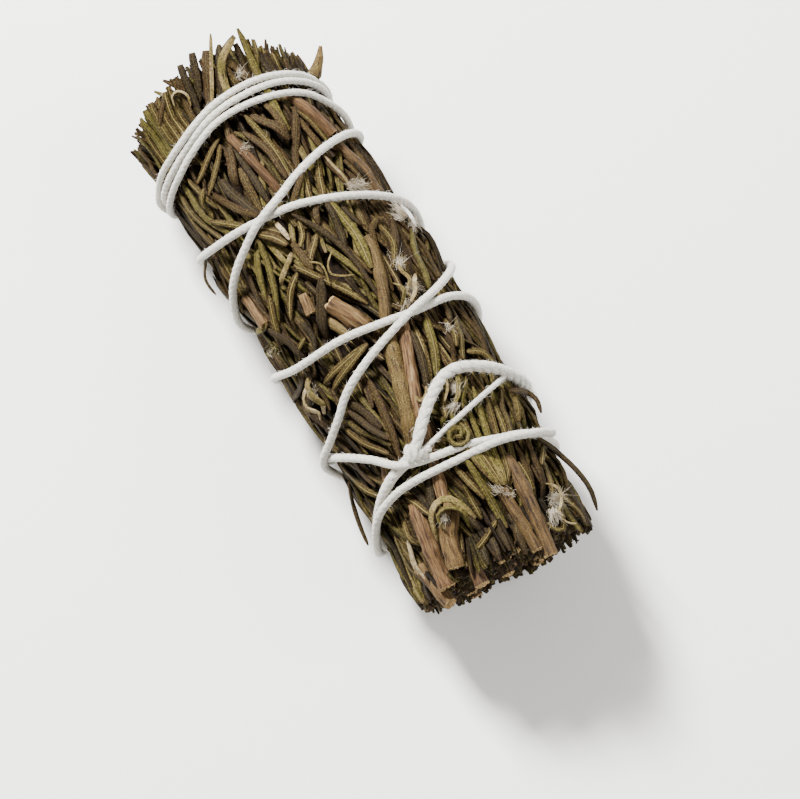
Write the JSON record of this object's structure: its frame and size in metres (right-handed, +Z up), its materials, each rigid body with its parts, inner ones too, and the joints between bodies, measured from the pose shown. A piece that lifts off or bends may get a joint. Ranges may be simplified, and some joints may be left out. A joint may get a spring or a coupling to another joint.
{
  "type": "rosemary smudge stick",
  "caption": "Short round bundle of dried rosemary sprigs with narrow leaves, bound along its length with crossing turns of cotton string and knotted near the cut end.",
  "frame": {"origin": "under the middle of the bundle, on the surface that it lies on", "axes": "+X along the bundle towards its cut stems, +Z up, -X towards the leaf tips"},
  "size_m": [0.0998, 0.0373, 0.0348],
  "materials": {
    "olive_needles": "dull dried leaves, olive brown",
    "green_needles": "dull dried leaves, olive green",
    "brown_needles": "dull dried leaves, dark brown",
    "cotton": "matt twisted cotton, white"
  },
  "bodies": {
    "root": {"rosemary_sprig_01": "olive_needles", "rosemary_sprig_02": "green_needles", "rosemary_sprig_03": "brown_needles", "rosemary_sprig_04": "olive_needles", "rosemary_sprig_05": "green_needles", "rosemary_sprig_06": "brown_needles", "rosemary_sprig_07": "olive_needles", "rosemary_sprig_08": "green_needles", "rosemary_sprig_09": "brown_needles", "rosemary_sprig_10": "olive_needles", "rosemary_sprig_11": "brown_needles", "rosemary_sprig_12": "brown_needles", "rosemary_sprig_13": "brown_needles", "cotton_string": "cotton"}
  },
  "joints": []
}
